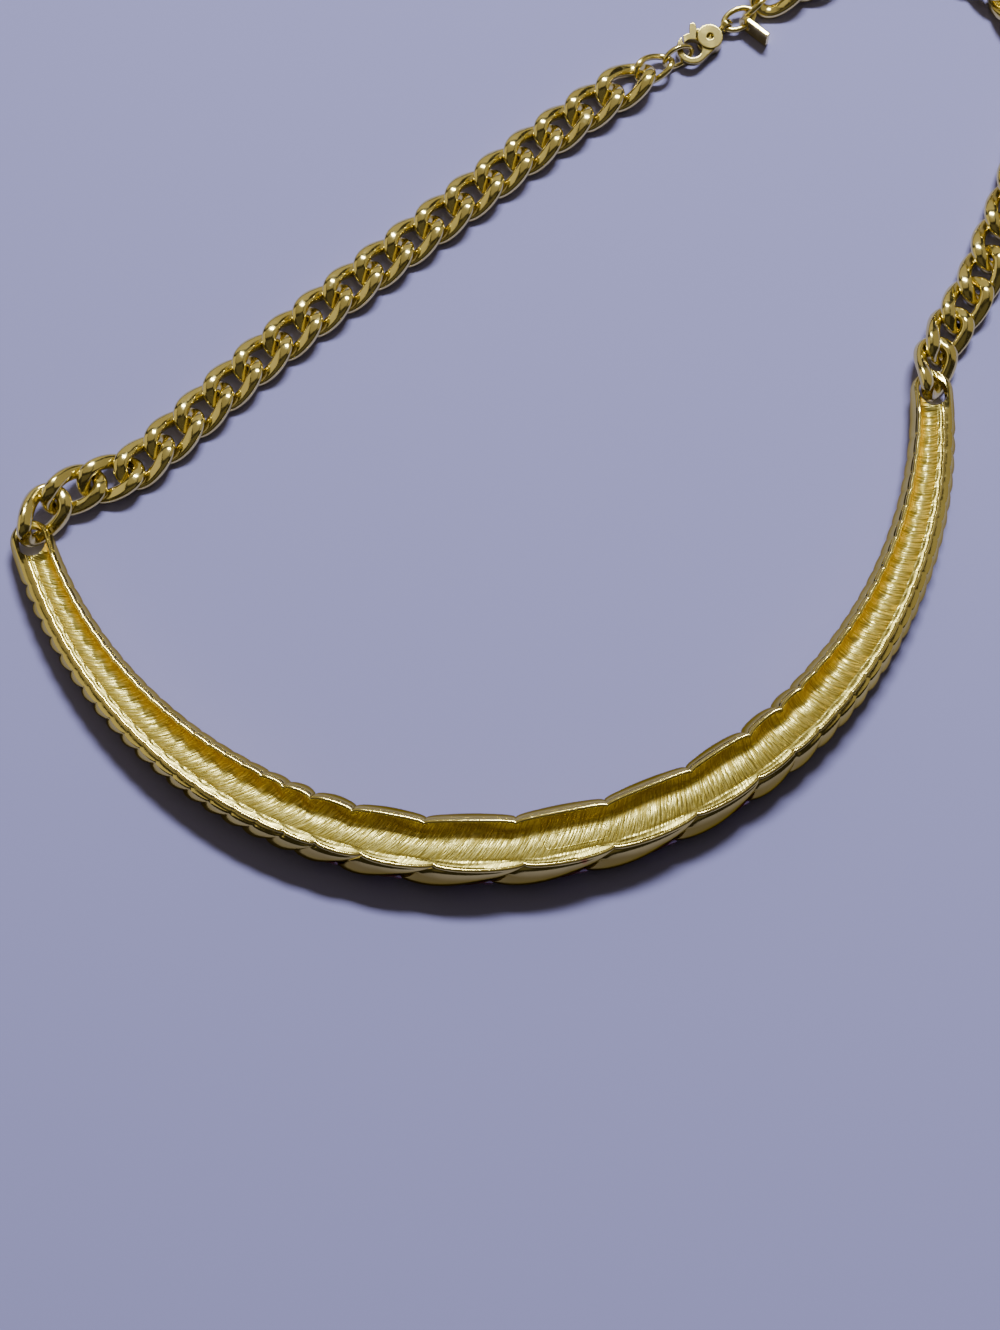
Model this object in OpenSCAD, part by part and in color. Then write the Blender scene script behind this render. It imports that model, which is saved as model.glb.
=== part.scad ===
// Choker with a cast, hollow-backed collar, enamel panels and a curb chain.
// It lies face down: the front of the collar touches the surface, its hollow back is up.

/* [Collar] */
// Radius of the collar's middle line, seen from above
collar_r = 64.4; // [60:0.1:70]
// Width of the collar at its middle
mid_w = 10; // [9:0.1:11]
// Width of the collar at its ends
end_w = 5.8; // [5.4:0.1:6.4]
// Height of the collar at its middle
mid_h = 7.2; // [6.6:0.1:8]
// Height of the collar near its ends
end_h = 4.6; // [4.2:0.1:5.2]
// Depth of the hollow back at the middle
hollow_mid = 2.6; // [2.2:0.1:3.4]
// Depth of the hollow back near the ends
hollow_end = 1; // [0.8:0.1:2.2]
// Width of the flat rim round the hollow back
rim_w = 0.55; // [0.4:0.05:0.7]

/* [Ribs] */
// Distance from rib to rib at the middle of the collar
rib_pitch_mid = 11.6; // [10:0.1:13]
// Distance from rib to rib at the ends of the collar
rib_pitch_end = 2.65; // [2.5:0.05:3]
// How far a rib stands above the valleys beside it
rib_h = 0.9; // [0.6:0.05:1]
// Distance along the collar from its middle to its tip
collar_half = 94.1; // [93.5:0.1:94.6]
// How many ribs a valley leans from the outer rim to the inner rim
rib_lean = 1; // [0.6:0.1:1.2]

/* [Enamel] */
// Thickness of the enamel in a valley
enamel_t = 0.45; // [0.35:0.05:0.5]
// Gap under the enamel
enamel_gap = 0.155; // [0.1:0.005:0.16]
// Gap beside the enamel, as a share of the height of a rib
enamel_side = 0.2; // [0.15:0.01:0.3]

/* [Chain] */
// Width of the flattened wire of a curb link, seen from above
wire_w = 1.82; // [1.7:0.01:1.9]
// Thickness of the flattened wire of a curb link
wire_t = 1.43; // [1.3:0.01:1.5]
// Length of a curb link, from wire middle to wire middle
link_len = 7.8; // [7.7:0.05:8]
// Width of a curb link, from wire middle to wire middle
link_wid = 4.7; // [4.6:0.05:4.9]
// How far the twist lifts the wire of a curb link
link_twist = 1.1; // [1.05:0.01:1.2]
// Distance from one curb link to the next
link_pitch = 5.58; // [5.54:0.01:5.6]

/* [Clasp] */
// Thickness of the body of the lobster clasp
clasp_t = 2.3; // [2.2:0.1:2.4]
// How far the lever turns when the clasp is opened, in degrees
lever_open = 0; // [0:1:7]

/* [Hidden] */

// The origin is the middle of the whole piece, on the surface that it lies on.
// This is where the centre of the collar's curve is from there.
collar_x = -13.5;
collar_y = 3.56;

gold = [0.83, 0.69, 0.33];
wine = [0.33, 0.05, 0.13];

// Ribs: a rib number runs along the collar, whole at the valleys and a half at the crests.
// The pitch stays wide over the middle and falls quickly past pitch_reach.
pitch_reach = 27;
pitch_sharpness = 6;
table_step = 0.5;
table_rows = 210;
middle_rib = 0.5;
middle_shift = 1.3;
lean_fade = 5;
inner_spread = 0.12;
spread_reach = 40;

function pitch_at(s) = rib_pitch_end
    + (rib_pitch_mid - rib_pitch_end) / (1 + pow(s / pitch_reach, pitch_sharpness));

// Rows of [ribs counted from the middle, distance from the middle]
rib_table = [
    for (i = 0, n = 0; i <= table_rows;
         n = n + table_step / pitch_at((i + 0.5) * table_step), i = i + 1)
        [n, i * table_step]
];

function clamp01(x) = min(1, max(0, x));
function smooth01(x) = let (c = clamp01(x)) c * c * (3 - 2 * c);
function sign_of(x) = x < 0 ? -1 : 1;
function rib_distance(m) = sign_of(m) * lookup(abs(m), rib_table);

distance_table = [for (row = rib_table) [row[1], row[0]]];
ribs_each_side = lookup(collar_half, distance_table);

// Share of the way round the section: 0 at the inner rim, 1 at the outer rim.
lean_power = 2.5;
function lean_at(v, m) = rib_lean * (1 - pow(v, lean_power))
    * clamp01((ribs_each_side - abs(m)) / lean_fade);

// Distance along the collar of rib number n, at the share v round the section
function along(n, v) =
    let (m = n - middle_rib,
         flat_s = rib_distance(m - lean_at(v, m))
             + middle_shift * (1 - abs(m) / ribs_each_side))
    flat_s * (1 + inner_spread * (1 - v) / (1 + pow(flat_s / spread_reach, 4)));

// The collar's section at a distance s from its middle
wall_top_share = 0.2;
widest_share = 0.52;
tip_round = 3;
tip_thin = 0.06;
tip_lift = 2.1;
tip_top = 3.6;
tip_rise = 7;
rim_in_mid = 1.35;
rim_in_end = 0.65;
rim_out_mid = 1.35;
rim_out_end = 1.7;

function taper(s) = cos(90 * s / collar_half);
function from_tip(s) = max(0, collar_half - abs(s));
function tip_round_at(s) =
    let (t = clamp01(from_tip(s) / tip_round))
    max(tip_thin, sqrt(1 - (1 - t) * (1 - t)));
function tip_blend(s) = 1 - smooth01(from_tip(s) / tip_rise);
function half_w(s) = (end_w + (mid_w - end_w) * taper(s)) / 2 * tip_round_at(s);
function front_z(s) = tip_lift * tip_blend(s);
function rim_z(s) =
    let (full = end_h + (mid_h - end_h) * taper(s))
    full + (tip_top - full) * tip_blend(s);
function rim_in(s) = (rim_in_end + (rim_in_mid - rim_in_end) * taper(s)) * tip_round_at(s);
function rim_out(s) = (rim_out_end + (rim_out_mid - rim_out_end) * taper(s)) * tip_round_at(s);
function widest_z(s) = front_z(s) + (rim_z(s) - front_z(s)) * widest_share;

// Plain section, with no ribs: [radial offset, height]. The front is half an ellipse.
// The inner wall leans in from the widest place up to its rim, and the outer wall rounds
// over to its rim as a quarter ellipse.
function front_angle(v) = -90 + 180 * (v - wall_top_share) / (1 - 2 * wall_top_share);
function wall_rise(v) = v < 0.5 ? 1 - v / wall_top_share : (v - 1 + wall_top_share) / wall_top_share;
function plain_section(s, v) =
    let (a = half_w(s), zw = widest_z(s), z0 = front_z(s), top = rim_z(s))
    v < wall_top_share
        ? [-a + rim_in(s) * pow(wall_rise(v), 2), zw + (top - zw) * wall_rise(v)]
        : v > 1 - wall_top_share
            ? [a - rim_out(s) * (1 - sqrt(max(0, 1 - pow(wall_rise(v), 2)))),
               zw + (top - zw) * wall_rise(v)]
            : [a * sin(front_angle(v)), z0 + (zw - z0) * (1 - cos(front_angle(v)))];
function outward(v) =
    v < wall_top_share ? [-1, 0]
    : v > 1 - wall_top_share ? [1, 0]
    : [sin(front_angle(v)), -cos(front_angle(v))];

// A rib's width as a share of its pitch: the ribs meet at the rims, and over the middle
// of the collar's front they draw apart and leave room for the enamel.
enamel_ribs = 3;
enamel_room = 0.5;
room_low = 0.1;
room_high = 0.92;
room_power = 0.6;
function room_at(v) = v <= room_low || v >= room_high ? 0
    : pow(sin(180 * (v - room_low) / (room_high - room_low)), room_power);
function in_middle(n) = abs(n - middle_rib) <= enamel_ribs + 0.01;
function rib_width(n, v) = 1 - enamel_room * room_at(v) * (in_middle(n) ? 1 : 0);
function rib_height(n, v) =
    let (x = (2 * (n - floor(n)) - 1) / rib_width(n, v))
    abs(x) >= 1 ? 0 : sqrt(1 - x * x);

// The ribs are lower at the rims, smooth out on the inner wall and at the outer rim away
// from the middle, and end before the eyes.
rim_relief = 0.7;
inner_smooth_from = 34;
inner_smooth_over = 12;
inner_relief_end = 0.2;
outer_smooth_from = 24;
outer_smooth_over = 16;
outer_relief_end = 0.2;
eye_clear_from = 6;
eye_clear_over = 4;
function relief_at(s, v) =
    let (edge = min(v, 1 - v) / wall_top_share,
         far_out = v > 0.5 ? smooth01((abs(s) - outer_smooth_from) / outer_smooth_over) : 0,
         at_rim = rim_relief * (1 - (1 - outer_relief_end) * far_out),
         by_rim = at_rim + (1 - at_rim) * smooth01(edge),
         inner = 1 - (1 - inner_relief_end)
             * smooth01((abs(s) - inner_smooth_from) / inner_smooth_over)
             * (1 - smooth01((v - 0.15) / 0.25)))
    by_rim * inner * smooth01((from_tip(s) - eye_clear_from) / eye_clear_over);

// A point of the outer skin, sunk below the crests by depth_mm
function skin(n, v, depth_mm) =
    let (s = along(n, v), p = plain_section(s, v), o = outward(v))
    on_curve(s, p + [-o[0], -o[1]] * depth_mm);
function valley_depth(n, v) = rib_h * relief_at(along(n, v), v);
function skin_point(n, v) = skin(n, v, valley_depth(n, v) * (1 - rib_height(n, v)));

// A section's offset and height, set on the collar's curve
function on_curve(s, p) =
    let (turn = s / collar_r * 180 / PI, r = collar_r + p[0])
    [r * sin(turn), -r * cos(turn), p[1]];

// The hollow back, from the outer rim's inner edge down and up to the inner rim. It falls
// gently from the outer rim to its floor, and the inner wall is a steep quarter ellipse.
// Its first and last points follow the ribs in the rims.
floor_row = 0.5;
floor_place = 0.68;
floor_sharpness = 1.05;
function hollow_across(share) = share < floor_row
    ? floor_place * share / floor_row
    : floor_place + (1 - floor_place) * sin(90 * (share - floor_row) / (1 - floor_row));
function hollow_down(share) = share < floor_row
    ? pow(sin(90 * share / floor_row), floor_sharpness)
    : cos(90 * (share - floor_row) / (1 - floor_row));
eye_start = 5.5;
eye_start_over = 1.2;
function hollow_depth(s) = (hollow_end + (hollow_mid - hollow_end) * taper(s))
    * smooth01((from_tip(s) - eye_start) / eye_start_over) + 0.02;
function rim_sink(n, s, v) = valley_depth(n, v) * (1 - rib_height(n, v));
function hollow_point(n, share) =
    let (v = 1 - share,
         s = along(n, v),
         lip = rim_w * tip_round_at(s),
         high = half_w(s) - rim_out(s) - lip - rim_sink(n, s, 1) * (share == 0 ? 1 : 0),
         low = -half_w(s) + rim_in(s) + lip + rim_sink(n, s, 0) * (share == 1 ? 1 : 0))
    on_curve(s, [high + (low - high) * hollow_across(share),
                 rim_z(s) - hollow_depth(s) * hollow_down(share)]);

// Stations along the collar: eight for each wide rib, with two at the feet of the rib,
// and four for each narrow one. Near each tip they are at set distances from it.
steps_wide = 8;
foot_share = 0.06;
function foot_at(n, v) = max(foot_share, (1 - rib_width(n, v)) / 2);
function wide_share(n, step, v) =
    let (foot = foot_at(n, v), k = step <= 4 ? step : steps_wide - step,
         x = k == 0 ? 0 : foot + (0.5 - foot) * (k - 1) / 3)
    step <= 4 ? x : 1 - x;
tip_from = 6;
ribs_to_tip = lookup(collar_half - tip_from, distance_table);
tip_steps = [5, 4, 3, 2, 1.2, 0.6, 0.2, 0];
function tip_rib(d, side) = middle_rib + side * lookup(collar_half - d, distance_table);
ribbed = [
    for (k = [floor(middle_rib - ribs_to_tip):ceil(middle_rib + ribs_to_tip)],
         step = [0:steps_wide - 1])
        let (n = k + step / steps_wide)
        if (abs(n - middle_rib) <= ribs_to_tip && (in_middle(n) || step % 2 == 0))
            [k, step, n]
];
stations = concat(
    [for (i = [len(tip_steps) - 1:-1:0]) [0, 0, tip_rib(tip_steps[i], -1)]],
    ribbed,
    [for (d = tip_steps) [0, 0, tip_rib(d, 1)]]
);
function station_n(st, v) = in_middle(st[2])
    ? st[0] + wide_share(st[2], st[1], v)
    : st[2];

skin_steps = 12;
hollow_steps = 4;
function ring_points(st) = concat(
    [for (j = [0:skin_steps])
        let (v = j / skin_steps) skin_point(station_n(st, v), v)],
    [for (j = [0:hollow_steps])
        let (share = j / hollow_steps) hollow_point(station_n(st, 1 - share), share)]
);
ring_size = skin_steps + hollow_steps + 2;

// Triangles between rings of points, closed at both ends by a fan
function ring_faces(rings, size) = concat(
    [for (i = [0:rings - 2], j = [0:size - 1], half = [0, 1])
        let (a = i * size + j, b = i * size + (j + 1) % size, c = a + size, d = b + size)
        half == 0 ? [a, b, c] : [b, d, c]],
    [for (j = [1:size - 2]) [0, j + 1, j]],
    [for (j = [1:size - 2])
        let (base = (rings - 1) * size) [base, base + j, base + j + 1]]
);

// The eye: an upright oval hole through each end
eye_len = 4.7;
eye_wid = 4;
eye_wall = 1;
eye_sides = 20;
eye_at = collar_half - eye_wall - eye_len / 2;
eye_bottom = -1;
eye_height = 8;
module eye_hole(side) {
    turn = side * eye_at / collar_r * 180 / PI;
    rotate([0, 0, turn])
        translate([0, -collar_r, eye_bottom])
            linear_extrude(eye_height)
                polygon([for (i = [0:eye_sides - 1])
                    [eye_len / 2 * cos(360 * i / eye_sides),
                     eye_wid / 2 * sin(360 * i / eye_sides)]]);
}

// A bare raised plate on the floor of the hollow, which slopes up towards the outer rim
plate_len = 8.8;
plate_wid = 2.4;
plate_proud = 0.2;
plate_sink = 1;
plate_turn = 2.4;
plate_rise = 2.25;
plate_slope = 21;
module bare_plate() {
    rotate([0, 0, plate_turn])
        translate([0, -collar_r, rim_z(0) - plate_rise])
            rotate([-plate_slope, 0, 0])
                translate([-plate_len / 2, -plate_wid / 2, -plate_sink])
                    cube([plate_len, plate_wid, plate_sink + plate_proud]);
}

module place() {
    translate([collar_x, collar_y, 0]) children();
}

module collar() {
    color(gold)
        place() {
            difference() {
                polyhedron([for (st = stations) each ring_points(st)],
                           ring_faces(len(stations), ring_size), convexity = 8);
                eye_hole(-1);
                eye_hole(1);
            }
            bare_plate();
        }
}

// Enamel: a patch that fills one valley, pointed at both ends. It has the same steps round
// the section as the collar, so that the gap under it is even.
enamel_first = 3;
enamel_last = 10;
enamel_rows = enamel_last - enamel_first;
enamel_cols = 2;
function enamel_point(k, row, col, depth_mm) =
    let (v = (enamel_first + row) / skin_steps,
         n0 = k + 0.001,
         side = col - 1,
         room = foot_at(n0, v) - enamel_side * rib_h / pitch_at(along(n0, v)),
         end_room = row == 0 || row == enamel_rows ? 0.3 : 1)
    skin(k + side * room * end_room, v, depth_mm);
function enamel_sheet(k, depth_mm) =
    [for (row = [0:enamel_rows], col = [0:enamel_cols]) enamel_point(k, row, col, depth_mm)];
function sheet_faces(rows, cols) =
    let (w = cols + 1, top = (rows + 1) * w)
    concat(
        [for (r = [0:rows - 1], c = [0:cols - 1], half = [0, 1])
            let (a = r * w + c)
            half == 0 ? [a, a + 1, a + w] : [a + 1, a + w + 1, a + w]],
        [for (r = [0:rows - 1], c = [0:cols - 1], half = [0, 1])
            let (a = top + r * w + c)
            half == 0 ? [a, a + w, a + 1] : [a + 1, a + w, a + w + 1]],
        [for (c = [0:cols - 1], half = [0, 1])
            half == 0 ? [c, c + top, c + 1] : [c + 1, c + top, c + top + 1]],
        [for (c = [0:cols - 1], half = [0, 1])
            let (a = rows * w + c)
            half == 0 ? [a, a + 1, a + top] : [a + 1, a + top + 1, a + top]],
        [for (r = [0:rows - 1], half = [0, 1])
            let (a = r * w)
            half == 0 ? [a, a + w, a + top] : [a + w, a + w + top, a + top]],
        [for (r = [0:rows - 1], half = [0, 1])
            let (a = r * w + cols)
            half == 0 ? [a, a + top, a + w] : [a + w, a + top, a + w + top]]
    );
module enamel(index) {
    k = index - enamel_ribs;
    color(wine)
        place()
            polyhedron(concat(enamel_sheet(k, rib_h - enamel_gap),
                              enamel_sheet(k, rib_h - enamel_gap - enamel_t)),
                       sheet_faces(enamel_rows, enamel_cols), convexity = 4);
}

// Links: a closed wire round an oval, twisted so that the next link can pass through it
// The straight steps cut inside the oval, so it is drawn a little larger by chord_fit.
link_rings = 12;
wire_sides = 6;
chord_fit = 2 / (1 + cos(180 / link_rings));
function oval(t, len, wid, twist) =
    [chord_fit * len / 2 * cos(t), chord_fit * wid / 2 * sin(t), -twist * sin(2 * t)];
function oval_way(t, len, wid, twist) =
    let (d = [-len / 2 * sin(t), wid / 2 * cos(t), -2 * twist * cos(2 * t)]) d / norm(d);
function link_points(len, wid, twist, wide, thick) =
    [for (i = [0:link_rings - 1], j = [0:wire_sides - 1])
        let (t = 360 * i / link_rings,
             way = oval_way(t, len, wid, twist),
             side0 = cross(way, [0, 0, 1]),
             side = side0 / norm(side0),
             up = cross(side, way),
             turn = 360 * j / wire_sides)
        oval(t, len, wid, twist)
            + side * wide / 2 * cos(turn) + up * thick / 2 * sin(turn)];
link_faces = [
    for (i = [0:link_rings - 1], j = [0:wire_sides - 1], half = [0, 1])
        let (i2 = (i + 1) % link_rings, j2 = (j + 1) % wire_sides,
             a = i * wire_sides + j, b = i * wire_sides + j2,
             c = i2 * wire_sides + j, d = i2 * wire_sides + j2)
        half == 0 ? [a, b, c] : [b, d, c]
];
module link(len, wid, twist, wide, thick) {
    polyhedron(link_points(len, wid, twist, wide, thick), link_faces, convexity = 6);
}

// Puts a link at a place, turned about the upright, pitched and rolled about its length.
// A pose is [x, y, z, heading, pitch, roll].
module set_link(pose) {
    translate([pose[0], pose[1], pose[2]])
        rotate([0, 0, pose[3]]) rotate([0, -pose[4], 0]) rotate([pose[5], 0, 0])
            children();
}
module curb_link() {
    link(link_len, link_wid, link_twist, wire_w, wire_t);
}

// A chain: the first links have poses of their own, as they climb to the collar's eye.
// Each later one is one pitch on from the last, along a heading that a short table gives,
// with rows of [link number, heading in degrees].
link_z = link_twist + wire_t / 2 + 0.02;
function chain_walk(start, headings, count) = [
    for (k = 0, p = start; k < count;
         p = p + link_pitch * [cos(lookup(k + 0.5, headings)), sin(lookup(k + 0.5, headings))],
         k = k + 1)
        [p[0], p[1], link_z, lookup(k, headings), 0, 0]
];

left_first = [[-57, -3.61, 2.8, 19.7, -9.8, 26.9], [-51.67, -2.41, 2.05, 9.7, -4.4, 10.2]];
left_count = 17;
left_start = [-46.65, -0.53];
left_headings = [[0, 32.4], [2, 35.1], [5, 31.3], [8, 29.3], [12, 30.5], [16, 24.5]];
right_first = [[67.61, -1.88, 2.38, 50.3, -5.1, 22.4], [71.37, 2.33, 2.06, 47.1, -1.5, 6.8]];
right_count = 16;
right_start = [74.7, 6.5];
right_headings = [[0, 57], [2, 57], [5, 68.8], [7, 91.9], [12, 182], [15, 199.7]];

module chain(first, start, headings, count) {
    color(gold)
        place() {
            for (pose = first) set_link(pose) curb_link();
            for (pose = chain_walk(start, headings, count)) set_link(pose) curb_link();
        }
}

// The end links pass through the eyes of the collar
end_left_pose = [-61.71, -6.61, 3.14, 48.3, 2.4, 38];
end_right_pose = [64.63, -6.61, 2.75, 67, -1.3, 33.2];
module end_link(pose) {
    color(gold) place() set_link(pose) curb_link();
}

// Small links between the chains and the clasp
small_wire = 0.9;
small_len = 5.6;
small_wid = 3.4;
small_twist = 0.7;
small_pose = [34.85, 46.67, 1.85, 17, 0, 8];
module small_link_left() {
    color(gold)
        place()
            set_link(small_pose)
                link(small_len, small_wid, small_twist, small_wire, small_wire);
}

upright_wire = 0.8;
upright_len = 4.5;
upright_wid = 3;
upright_pose = [51.58, 54.09, 1.79, 35.6, 7.28, 117.35];
module small_link_right() {
    color(gold)
        place()
            set_link(upright_pose)
                link(upright_len, upright_wid, 0, upright_wire, upright_wire);
}

catch_wire = 0.75;
catch_len = 4.4;
catch_wid = 3;
catch_pose = [38.72, 47.86, 1.78, 17, 0, 64];
module catch_link() {
    color(gold)
        place()
            set_link(catch_pose)
                link(catch_len, catch_wid, 0, catch_wire, catch_wire);
}

ring_wire = 0.8;
ring_len = 4.8;
ring_wid = 2.9;
ring_pose = [48.68, 52.45, 1.48, 15.9, 4.2, 8.2];
module clasp_ring() {
    color(gold)
        place()
            set_link(ring_pose)
                link(ring_len, ring_wid, 0, ring_wire, ring_wire);
}

// The lobster clasp lies flat. It is drawn with its pin at the origin, its hook along X
// and its lever on the +Y side.
clasp_at = [43.87, 49.97];
clasp_heading = 211;
clasp_z = 0.1;
body_r = 1.9;
hook_x = 3.2;
hook_y = 0.3;
hook_r = 2.35;
hook_hole_r = 1.4;
hook_z = 1.15;
hook_t = 1;
bail_x = -3.2;
bail_r = 1.2;
bail_hole_r = 0.72;
bail_t = 0.8;
bail_z = 1.25;
lever_from = 50;
lever_to = 165;
lever_reach = 3.95;
slot_z = 1;
slot_t = 0.9;
root_t = 0.7;
root_r = 1.2;
pin_d = 0.8;
pin_clearance = 0.03;
joint_gap = 0.15;
arc_steps = 10;

function arc_points(r, from, to) =
    [for (i = [0:arc_steps])
        let (t = from + (to - from) * i / arc_steps) [r * cos(t), r * sin(t)]];

module clasp_place() {
    place()
        translate([clasp_at[0], clasp_at[1], clasp_z])
            rotate([0, 0, clasp_heading])
                mirror([0, 1, 0])
                    children();
}

// The part of the hook's ring that the lever takes the place of. It ends in an arc about
// the pin, so that the lever's end can turn past the tip of the hook.
module hook_opening() {
    intersection() {
        circle(r = lever_reach + joint_gap, $fn = 96);
        translate([hook_x, hook_y])
            polygon(concat([[0, 0]], arc_points(hook_r * 1.6, lever_from - 5, lever_to + 40)));
    }
}

module hook_outline() {
    difference() {
        union() {
            translate([hook_x, hook_y]) circle(r = hook_r, $fn = 64);
            polygon([[0, -body_r + 0.1], [hook_x - 0.3, hook_y - hook_r + 0.02],
                     [hook_x, hook_y], [0.8, 0]]);
        }
        translate([hook_x, hook_y]) circle(r = hook_hole_r, $fn = 48);
        hook_opening();
    }
}

module lever_slot() {
    circle(r = root_r + joint_gap, $fn = 48);
    polygon([[-2.5, 0.1], [0, -root_r - joint_gap], [1.2, -0.9], [2.6, -0.6],
             [2.6, 3], [-2.5, 3]]);
}

module clasp_body() {
    color(gold)
        clasp_place() {
            difference() {
                union() {
                    cylinder(r = body_r, h = clasp_t, $fn = 64);
                    translate([0, 0, hook_z]) linear_extrude(hook_t) hook_outline();
                }
                translate([0, 0, slot_z]) linear_extrude(slot_t) lever_slot();
            }
            // The pin is riveted into the body, so the two are one solid
            translate([0, 0, slot_z / 2]) cylinder(d = pin_d, h = clasp_t - slot_z, $fn = 32);
            // The tail stands on edge, with its hole across the clasp
            difference() {
                union() {
                    translate([bail_x, bail_t / 2, bail_z])
                        rotate([90, 0, 0]) cylinder(r = bail_r, h = bail_t, $fn = 48);
                    translate([bail_x, -bail_t / 2, bail_z - 0.6])
                        cube([-bail_x - body_r + 0.6, bail_t, 1.2]);
                }
                translate([bail_x, bail_t, bail_z])
                    rotate([90, 0, 0]) cylinder(r = bail_hole_r, h = bail_t * 2, $fn = 40);
                translate([0, 0, -1]) cylinder(r = body_r - 0.3, h = clasp_t + 2, $fn = 48);
            }
        }
}

// The lever: a flat root on the pin, an arm that closes the hook, and a thumb tab
tab_x = 0.87;
tab_y = 2.85;
tab_r = 0.5;
module lever_arm() {
    intersection() {
        circle(r = lever_reach, $fn = 96);
        translate([hook_x, hook_y])
            polygon(concat(arc_points(hook_r, lever_from, lever_to),
                           [for (p = [arc_steps:-1:0])
                               let (t = lever_from + (lever_to - lever_from) * p / arc_steps)
                               [hook_hole_r * cos(t), hook_hole_r * sin(t)]]));
    }
    polygon([[1.2, 1.2], [2.3, 1.5], [2, 2.35], [tab_x + 0.3, tab_y + 0.4],
             [tab_x - 0.3, tab_y - 0.4]]);
    translate([tab_x, tab_y]) circle(r = tab_r, $fn = 24);
}
module lever_root() {
    circle(r = root_r, $fn = 48);
    polygon([[-0.5, 1.05], [tab_x - 0.2, tab_y - 0.3], [2, 2.2], [1.92, 0.9], [1.05, -0.5]]);
}

module clasp_lever() {
    color(gold)
        clasp_place()
            rotate([0, 0, -lever_open])
                difference() {
                    union() {
                        translate([0, 0, slot_z + (slot_t - root_t) / 2])
                            linear_extrude(root_t) lever_root();
                        translate([0, 0, hook_z])
                            linear_extrude(hook_t)
                                difference() {
                                    lever_arm();
                                    circle(r = body_r + joint_gap, $fn = 64);
                                }
                    }
                    translate([0, 0, -1])
                        cylinder(d = pin_d + 2 * pin_clearance, h = clasp_t + 2, $fn = 32);
                }
}

// A bare tag that stands on edge, held by the ring
tag_len = 5.4;
tag_h = 3;
tag_t = 0.7;
tag_hole_r = 0.75;
tag_hole_z = 1.3;
tag_at = [49.74, 51.36];
tag_heading = -50.9;
module hang_tag() {
    color(gold)
        place()
            translate([tag_at[0], tag_at[1], 0.05])
                rotate([0, 0, tag_heading])
                    rotate([90, 0, 0])
                        translate([0, 0, -tag_t / 2])
                            linear_extrude(tag_t)
                                difference() {
                                    union() {
                                        translate([0.2, tag_h / 2]) circle(r = tag_h / 2, $fn = 48);
                                        translate([0.2, 0])
                                            square([tag_len - tag_h / 2 - 0.2, tag_h]);
                                    }
                                    translate([0, tag_hole_z]) circle(r = tag_hole_r, $fn = 32);
                                }
}

collar();
enamel(1);  // enamel_1
enamel(2);  // enamel_2
enamel(3);  // enamel_3
enamel(4);  // enamel_4
enamel(5);  // enamel_5
enamel(6);  // enamel_6
end_link(end_left_pose);  // end_link_left
chain(left_first, left_start, left_headings, left_count);  // chain_left
small_link_left();
catch_link();
clasp_body();
clasp_lever();
clasp_ring();
hang_tag();
small_link_right();
chain(right_first, right_start, right_headings, right_count);  // chain_right
end_link(end_right_pose);  // end_link_right
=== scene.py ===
# %% [markdown]
# A choker on a pale table
#
# This lesson dresses a finished metal choker for the camera. The choker lies face down: the
# ribbed front of its stiff collar touches the table, and the brushed hollow of its back is up.
# The solid parts come in as a fixed frame. Each new piece is worked out with numpy as a
# surface, takes the place of a plain solid, and follows the body that the solid belongs to.

import bpy
import numpy as np
from mathutils import Matrix, Vector


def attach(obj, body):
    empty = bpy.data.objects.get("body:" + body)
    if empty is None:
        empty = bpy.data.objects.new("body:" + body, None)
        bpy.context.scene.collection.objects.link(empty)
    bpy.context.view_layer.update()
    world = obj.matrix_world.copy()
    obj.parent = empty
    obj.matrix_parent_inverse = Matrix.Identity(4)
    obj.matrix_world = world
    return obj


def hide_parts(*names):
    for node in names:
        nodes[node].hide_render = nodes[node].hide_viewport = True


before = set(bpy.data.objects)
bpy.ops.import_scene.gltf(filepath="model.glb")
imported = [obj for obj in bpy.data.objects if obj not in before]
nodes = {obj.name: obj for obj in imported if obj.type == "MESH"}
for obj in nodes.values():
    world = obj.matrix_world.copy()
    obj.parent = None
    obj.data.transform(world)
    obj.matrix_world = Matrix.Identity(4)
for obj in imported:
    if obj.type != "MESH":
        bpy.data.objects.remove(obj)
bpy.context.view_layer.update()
mm = 0.001
print("nodes:", len(nodes))

# %% [markdown]
# Everything is measured from the centre of the collar's curve, in millimetres. The collar is
# an arc of a little less than a half circle, so two numbers place a point on it: the
# distance along the middle line, and the distance outwards from that line.

# %% The collar's curve
collar_centre = np.array([-13.5, 3.56, 0.0])
collar_r = 64.4
collar_half = 94.1


def smooth01(x):
    """A soft step: 0 below 0, 1 above 1, and 3 x squared minus 2 x cubed between."""
    c = np.clip(x, 0, 1)
    return c * c * (3 - 2 * c)


def between(first, second, share):
    """The first value at share 0 and the second at share 1, evenly between them."""
    return first + (second - first) * share


def on_curve(s, offset, z):
    """The point at distance s along the middle line, offset outwards from it, at height z.

    The angle is s over the radius, counted from the middle of the collar.
    """
    turn = s / collar_r
    r = collar_r + offset
    p = np.stack([r * np.sin(turn), -r * np.cos(turn), z + 0 * r], axis=-1)
    return p + collar_centre


print("collar, mm along the middle line:", 2 * collar_half)

# %% [markdown]
# The ribs cross the front like a rope. They are wide at the middle of the collar and narrow
# towards its ends, and each valley leans from the outer rim to the inner one. A rib number
# runs along the collar, whole in the valleys and a half on the crests, so one law for the
# distance from rib to rib sets them all.

# %% The law of the ribs
pitch_mid, pitch_end = 11.6, 2.65
pitch_reach, pitch_sharpness = 27.0, 6
table_step, table_rows = 0.5, 211
middle_rib, middle_shift = 0.5, 1.3
rib_lean, lean_power, lean_fade = 1.0, 2.5, 5.0
inner_spread, spread_reach, spread_power = 0.12, 40.0, 4


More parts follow.
